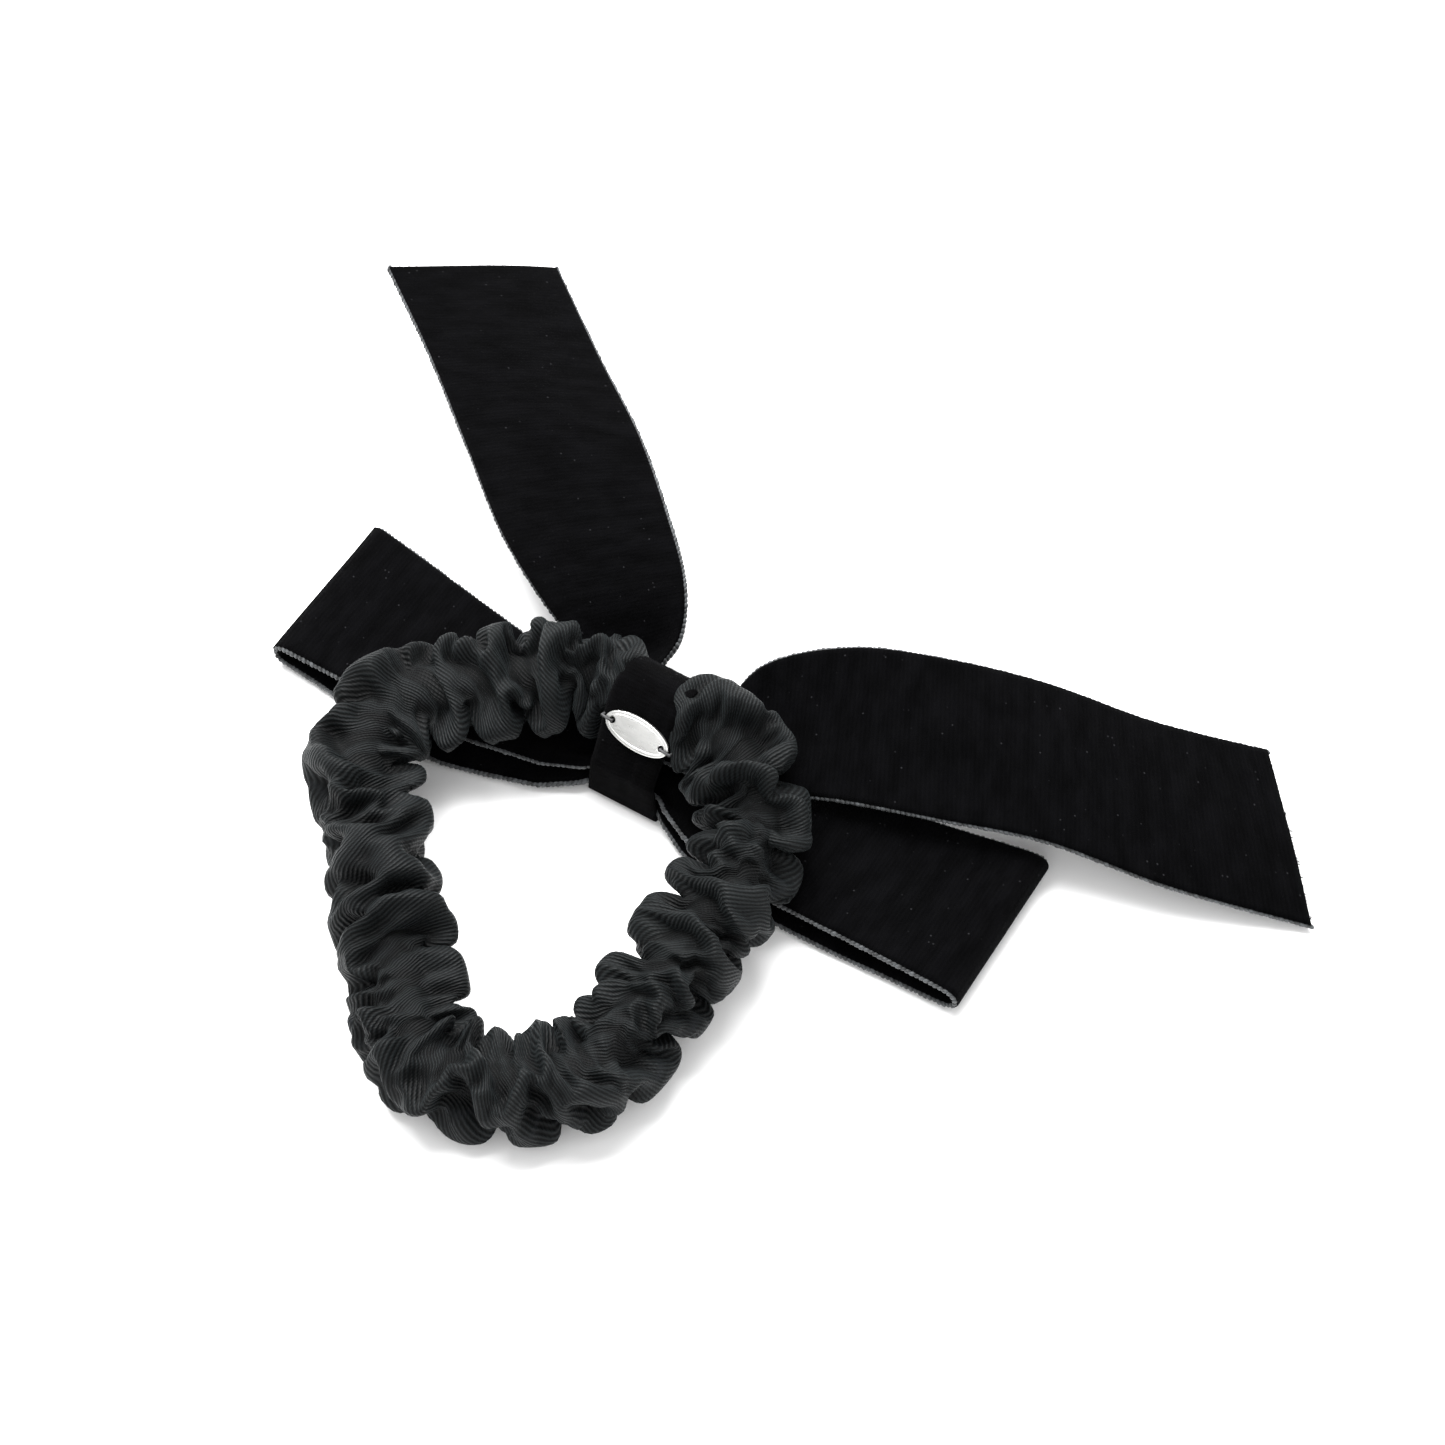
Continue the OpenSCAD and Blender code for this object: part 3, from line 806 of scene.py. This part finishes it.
def tagPieces():
    curve = bpy.data.curves.new("ovalTag", "CURVE")
    curve.dimensions = "2D"
    curve.fill_mode = "BOTH"
    curve.extrude = tag["thickness"] / 2 - tag["bevel"]
    curve.bevel_depth = tag["bevel"]
    curve.bevel_resolution = 3
    curve.offset = -tag["bevel"]
    addRing(curve, ovalLine(tag["length"] / 2, tag["height"] / 2))
    for sx in (-1, 1):
        addRing(curve, [(x + sx * tag["holeAt"], y) for x, y in ovalLine(tag["holeRadius"], tag["holeRadius"] * 1.15, 20)])
    shape = bpy.data.objects.new("ovalTag", curve)
    bpy.context.scene.collection.objects.link(shape)
    bpy.context.view_layer.update()
    graph = bpy.context.evaluated_depsgraph_get()
    mesh = bpy.data.meshes.new_from_object(shape.evaluated_get(graph))
    bpy.data.objects.remove(shape)
    place = Matrix.Scale(0.001, 4) @ tagPlace() @ Matrix.Translation((0, 0, tag["thickness"] / 2))
    mesh.transform(place)
    mesh.materials.clear()
    mesh.materials.append(tagMetal)
    plate = bpy.data.objects.new("ovalMetalTag", mesh)
    bpy.context.scene.collection.objects.link(plate)
    wire = 0.09
    outline = ovalLine(tag["length"] / 2 - tag["rimInset"], tag["height"] / 2 - tag["rimInset"], 96)
    points, faces = [], []
    for k, (x, y) in enumerate(outline):
        out = Vector((x / (tag["length"] / 2) ** 2, y / (tag["height"] / 2) ** 2, 0)).normalized()
        for q in range(6):
            a = math.tau * q / 6
            rise = Vector((0, 0, wire * 0.6 * math.sin(a)))
            points.append(Vector((x, y, tag["thickness"])) + out * wire * math.cos(a) + rise)
        n = len(outline)
        for q in range(6):
            faces.append((k * 6 + q, k * 6 + (q + 1) % 6, ((k + 1) % n) * 6 + (q + 1) % 6, ((k + 1) % n) * 6 + q))
    lift = Matrix.Scale(0.001, 4) @ tagPlace()
    rim = meshObject("tagRaisedBorder", [lift @ p for p in points], faces, None, tagMetal)
    return plate, rim


tagPlate, tagRim = tagPieces()
report("tag")

# gathered casing
casing = {
    "corners": [(-12, 0), (-37, -22), (3, -64), (22, -53), (24, 0)],
    "radii": [14, 9, 9, 12, 17],
    "axis": (0.0, 0.5, 13.0),
    "tilt": math.degrees(math.asin(6.8 / 61.7)),
    "tubeRadius": 7.6,
    "knotRadius": 4.0,
    "knotHalf": 5.0,
    "around": 30,
    "along": 270,
    "frames": 32,
    "foldPitch": 7.2,
    "foldHeight": 2.4,
    "foldLean": 0.7,
    "heldAt": (0, 215, 270),
    "lineHold": 1.0,
    "softHold": 0.15,
    "stiffness": 12.0,
    "airPressure": 4.0,
    "bending": 2.0,
    "meanReach": 5.4,
    "foldDepth": 2.7,
    "knotPuff": 0.35,
    "shadeReach": 2.2,
    "innerReach": 2.7,
    "outerReach": 8.9,
    "wall": 0.0003,
}


def ringPath():
    corners, radii = casing["corners"], casing["radii"]
    count = len(corners)
    heading = [math.atan2(corners[(i + 1) % count][1] - corners[i][1], corners[(i + 1) % count][0] - corners[i][0])
               for i in range(count)]
    points = [(0.0, 0.0)]
    for i in range(count):
        before = heading[i - 1]
        turn = (heading[i] - before + math.pi) % math.tau - math.pi
        trim = radii[i] * math.tan(abs(turn) / 2)
        x = corners[i][0] - trim * math.cos(before)
        y = corners[i][1] - trim * math.sin(before)
        cx, cy = x + radii[i] * math.cos(before + math.pi / 2), y + radii[i] * math.sin(before + math.pi / 2)
        for k in range(9):
            a = before + turn * k / 8 - math.pi / 2
            points.append((cx + radii[i] * math.cos(a), cy + radii[i] * math.sin(a)))
    points.append((0.0, 0.0))
    return np.array(points)


def ringPlace():
    return Matrix.Scale(0.001, 4) @ Matrix.Translation(casing["axis"]) @ Matrix.Rotation(math.radians(casing["tilt"]), 4, "X")


ringLine = ringPath()
ringRun = np.concatenate([[0], np.cumsum(np.linalg.norm(np.diff(ringLine, axis=0), axis=1))])
ringLength = ringRun[-1]


def onRing(s):
    total, weight = np.zeros(2), 0.0
    for k in range(-6, 7):
        at = (s + k * 0.9) % ringLength
        share = math.exp(-(k / 3.2) ** 2)
        total += share * np.array([np.interp(at, ringRun, ringLine[:, 0]), np.interp(at, ringRun, ringLine[:, 1])])
        weight += share
    return total / weight


# flat cloth gathered onto each millimetre of the ring, t from 0 to 1 round it
def clothDensity(t):
    d = 2.0
    d -= 0.95 * math.exp(-((t - 0.36) / 0.04) ** 2)
    d -= 0.50 * math.exp(-((t - 0.25) / 0.03) ** 2)
    d += 0.35 * math.exp(-((t - 0.08) / 0.05) ** 2) + 0.55 * math.exp(-((t - 0.92) / 0.06) ** 2)
    return max(d, 1.05)


# returns the flat-length ring, the gathered start, and how hard each point is held
def casingShapes():
    along, around = casing["along"], casing["around"]
    marks = np.linspace(0, 1, 2000)
    density = np.array([clothDensity(t) for t in marks])
    share = np.concatenate([[0], np.cumsum((density[1:] + density[:-1]) / 2)])
    clothLength = ringLength * share[-1] / (len(marks) - 1)
    share /= share[-1]
    big = clothLength / math.tau
    tube = casing["tubeRadius"]
    loose, gathered, hold = np.zeros((along, around, 3)), np.zeros((along, around, 3)), np.zeros((along, around))
    heldColumns = [int(around * degrees / 360) for degrees in casing["heldAt"]]
    for i in range(along):
        t = float(np.interp(i / along, share, marks))
        s = t * ringLength
        c, ahead, behind = onRing(s), onRing(s + 0.8), onRing(s - 0.8)
        way = (ahead - behind) / np.linalg.norm(ahead - behind)
        side = np.array([-way[1], way[0]])
        fromKnot = min(s, ringLength - s)
        opened = min(max((fromKnot - 5.5) / 5, 0), 1)
        radius = casing["knotRadius"] + (tube - 1.6 - casing["knotRadius"]) * opened
        calm = 1 - 0.8 * math.exp(-((t - 0.36) / 0.045) ** 2)
        lift = min(max((fromKnot - 5) / 4, 0), 1)
        for j in range(around):
            a = math.tau * j / around
            ca, sa = math.cos(a), math.sin(a)
            turn = math.tau * i / along
            loose[i, j] = ((big - tube * ca) * math.cos(turn), (big - tube * ca) * math.sin(turn), tube * sa)
            swell = noise.noise(Vector((s * 0.08 + 7, ca * 0.8, sa * 0.8)))
            phase = (math.tau * s / casing["foldPitch"] + 3.6 * noise.noise(Vector((s * 0.045 + 3, 0.5, 1.0)))
                     + 2.2 * noise.noise(Vector((s * 0.10, ca * 0.7 + 4, sa * 0.7))) + 0.9 * math.sin(a + s * 0.045))
            height = casing["foldHeight"] * lift * calm * (1 + 0.9 * noise.noise(Vector((s * 0.11 + 31, ca * 0.5, sa * 0.5))))
            r = radius * (1 + 0.16 * swell * lift) - height * math.cos(phase)
            lean = -casing["foldLean"] * height * math.sin(phase)
            gathered[i, j] = (c[0] + side[0] * r * ca + way[0] * lean, c[1] + side[1] * r * ca + way[1] * lean, r * sa)
            hold[i, j] = casing["softHold"]
            if fromKnot < casing["knotHalf"] or j in heldColumns:
                hold[i, j] = casing["lineHold"]
    return loose, gathered, hold, clothLength


# pushes the long cloth tube together along the ring; the cloth decides its own folds
# works ten times life size, in decimetres
def gatherCloth(loose, gathered, hold):
    along, around = loose.shape[:2]
    faces = []
    for i in range(along):
        here, ahead = i * around, ((i + 1) % along) * around
        faces += [(here + j, here + (j + 1) % around, ahead + (j + 1) % around, ahead + j) for j in range(around)]
    cloth = meshObject("casingCloth", (loose * 0.01).reshape(-1, 3), faces)
    cloth.shape_key_add(name="Basis")
    key = cloth.shape_key_add(name="gathered")
    key.data.foreach_set("co", (gathered * 0.01).reshape(-1).astype(np.float32))
    scene = bpy.context.scene
    frames = casing["frames"]
    key.value = 0
    key.keyframe_insert("value", frame=1)
    key.value = 1
    key.keyframe_insert("value", frame=int(frames * 0.6))
    group = cloth.vertex_groups.new(name="held")
    for index, value in enumerate(hold.reshape(-1)):
        group.add([index], float(value), "REPLACE")
    modifier = cloth.modifiers.new("cloth", "CLOTH")
    settings = modifier.settings
    settings.quality = 6
    settings.mass = 0.15
    settings.tension_stiffness = settings.compression_stiffness = casing["stiffness"]
    settings.shear_stiffness = casing["stiffness"] / 3
    settings.bending_stiffness = casing["bending"]
    settings.tension_damping = settings.compression_damping = 8
    settings.shear_damping = 5
    settings.bending_damping = 0.5
    settings.air_damping = 3
    settings.vertex_group_mass = "held"
    settings.pin_stiffness = 1.0
    settings.use_pressure = True
    settings.uniform_pressure_force = casing["airPressure"]
    settings.effector_weights.gravity = 0
    touch = modifier.collision_settings
    touch.use_collision = False
    touch.use_self_collision = True
    touch.self_distance_min = 0.008
    touch.self_friction = 2
    touch.collision_quality = 2
    modifier.point_cache.frame_start, modifier.point_cache.frame_end = 1, frames
    scene.frame_start, scene.frame_end = 1, frames
    for number in range(1, frames + 1):
        scene.frame_set(number)
    graph = bpy.context.evaluated_depsgraph_get()
    result = bpy.data.meshes.new_from_object(cloth.evaluated_get(graph))
    points = np.zeros(len(result.vertices) * 3)
    result.vertices.foreach_get("co", points)
    bpy.data.objects.remove(cloth)
    bpy.data.meshes.remove(result)
    scene.frame_set(1)
    return points.reshape(-1, 3) * 100


# height of what lies under the ring: the table, the loops, then the tails beside the knot
def restHeight(x, y):
    overLoops = min(1.0, max(0.0, (y + 23.0) / 6.0))
    overTails = min(1.0, max(0.0, (y - 0.5) / 2.0)) * min(1.0, max(0.0, (30.0 - abs(x)) / 5.0))
    return 0.45 + 5.35 * overLoops + 2.0 * overTails


# deepens the folds, then keeps the cloth outside the elastic, within the ring's drawn width and above the table; also
# returns painted shade for the fold valleys
def keptOnRing(points):
    stations = np.linspace(0, ringLength, 600, endpoint=False)
    centre = np.array([onRing(s) for s in stations])
    ahead = np.roll(centre, -2, axis=0) - np.roll(centre, 2, axis=0)
    ahead /= np.linalg.norm(ahead, axis=1)[:, None]
    axisTilt = math.radians(casing["tilt"])
    reaches = np.zeros(len(points))
    inner, outer, mean = casing["innerReach"], casing["outerReach"], casing["meanReach"]
    out = points.copy()
    for n, p in enumerate(points):
        a = math.tau * (n % casing["around"]) / casing["around"]
        k = int(((centre - p[:2]) ** 2).sum(1).argmin())
        fromKnot = min(stations[k], ringLength - stations[k])
        free = min(1.0, max(0.0, (fromKnot - 5.0) / 4.0))
        v = np.array([p[0] - centre[k, 0], p[1] - centre[k, 1], p[2]])
        way = np.array([-ahead[k, 1] * math.cos(a), ahead[k, 0] * math.cos(a), math.sin(a)])
        reach = float(v @ way)
        deep = mean + (reach - mean) * (1 + (casing["foldDepth"] - 1) * free) if free > 0 else reach
        front = min(1.0, max(0.0, 0.5 - v[1] / 6))      # the back stays slim, so the ring can swing up past the tails
        puff = casing["knotPuff"] * free * front * math.exp(-((fromKnot - 16.0) / 7.0) ** 2)
        deep += puff * (reach - inner)
        if deep < inner + 1.0:
            deep = inner + math.exp(deep - inner - 1.0)
        reaches[n] = reach
        v += way * (deep - reach)
        r = float(np.linalg.norm(v))
        if r > 6:
            v *= (6 + (outer - 6) * math.tanh((r - 6) / (outer - 6))) / r
        q = np.array([centre[k, 0] + v[0], centre[k, 1] + v[1], v[2]])
        high = casing["axis"][2] + q[1] * math.sin(axisTilt) + q[2] * math.cos(axisTilt)
        rest = restHeight(q[0], casing["axis"][1] + q[1])
        if high < rest + 1.2:                           # flattens where it lies on the table or on the bow
            q[2] += (rest + 1.2 * math.exp((high - rest - 1.2) / 1.2) - high) / math.cos(axisTilt)
        out[n] = q
    # painted shade: points that reach less than their neighbours, in the fold valleys, get a low foldShade and the
    # twill is coloured darker there
    reaches = reaches.reshape(casing["along"], casing["around"])
    level = sum(np.roll(reaches, k, 0) for k in range(-6, 7)) / 13
    shade = np.clip(0.5 + (reaches - level) / casing["shadeReach"], 0, 1)
    return out, shade.reshape(-1)


def casingPiece():
    loose, gathered, hold, clothLength = casingShapes()
    points = gatherCloth(loose, gathered, hold)
    points, shade = keptOnRing(points)
    place = np.array(ringPlace())
    world = (points @ place[:3, :3].T) + place[:3, 3]
    rows = world.reshape(casing["along"], casing["around"], 3)
    # the size the tube was cut to
    flatLength, flatWidth = clothLength * 0.001, math.tau * casing["tubeRadius"] * 0.001
    lengths = np.linspace(0, flatLength * 100, casing["along"] + 1)
    widths = np.linspace(0, flatWidth * 100, casing["around"] + 1)
    piece = clothGrid("gatheredCasing", rows, casingTwill, True, True, (lengths, widths))
    # painted shade for the fold valleys, stored on the points and read by the twill colour
    paintedShadeLayer = piece.data.attributes.new("foldShade", "FLOAT", "POINT")
    paintedShadeLayer.data.foreach_set("value", shade.astype(np.float32))
    rounder = piece.modifiers.new("rounder", "SUBSURF")
    rounder.levels = rounder.render_levels = 1
    piece = applied(piece)
    return thicken(piece, casing["wall"], -1.0), (flatWidth, flatLength)


casingTube, casingFlat = casingPiece()

elastic = {"radius": 2.0, "along": 220, "around": 14}


# one round elastic inside the casing
def elasticPiece():
    place = ringPlace()
    rows = []
    for i in range(elastic["along"]):
        s = ringLength * i / elastic["along"]
        c, ahead, behind = onRing(s), onRing(s + 0.8), onRing(s - 0.8)
        way = (ahead - behind) / np.linalg.norm(ahead - behind)
        rows.append([place @ Vector((c[0] - way[1] * elastic["radius"] * math.cos(a), c[1] + way[0] * elastic["radius"] * math.cos(a),
                                     elastic["radius"] * math.sin(a)))
                     for a in (math.tau * j / elastic["around"] for j in range(elastic["around"]))])
    lengths = np.linspace(0, ringLength * 0.1, elastic["along"] + 1)
    widths = np.linspace(0, math.tau * elastic["radius"] * 0.1, elastic["around"] + 1)
    rows = [[tuple(p) for p in row] for row in rows]
    return clothGrid("braidedElasticLoop", rows, braidedElastic, True, True, (lengths, widths))


elasticLoop = elasticPiece()
report("gathered casing")

# carried-over nodes
nodeFinishes = {
    "band_seam_thread": darkThread,
    "waist_binding_thread": darkThread,
    "casing_closing_stitches": darkThread,
    "tag_thread_left": tagThread,
    "tag_thread_right": tagThread,
    "elastic_join": darkThread,
}

for nodeName, finish in nodeFinishes.items():
    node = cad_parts[nodeName]
    if not node.material_slots:
        node.data.materials.append(finish)
    for slotItem in node.material_slots:
        slotItem.link = "DATA"
        slotItem.material = finish

# bodies: hide the drawn parts, attach pieces and bake transforms
for body, (piece, edges, length) in loopPieces.items():
    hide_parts(body, *(["loops_waist"] if body == "loop_left" else []))
    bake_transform(piece)
    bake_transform(edges)

# each tail, with its selvedge and frayed end
for body, (piece, edges, length, area, rows), fray in (("tail_left", tailLeft, frayLeft), ("tail_right", tailRight, frayRight)):
    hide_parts(body, *(["tails_waist"] if body == "tail_left" else []))
    for part in (piece, edges, fray):
        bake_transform(part)

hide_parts("knot_band")
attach(bandPiece, "bow_knot")
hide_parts("metal_tag")
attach(tagPlate, "bow_knot")
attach(tagRim, "bow_knot")
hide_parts("casing_back", "casing_left", "casing_right", "casing_front")
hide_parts("elastic_back", "elastic_left", "elastic_right", "elastic_front")
for piece, finish in ((casingTube, "twill"), (elasticLoop, "elastic")):
    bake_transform(piece)

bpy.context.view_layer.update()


report("all pieces")
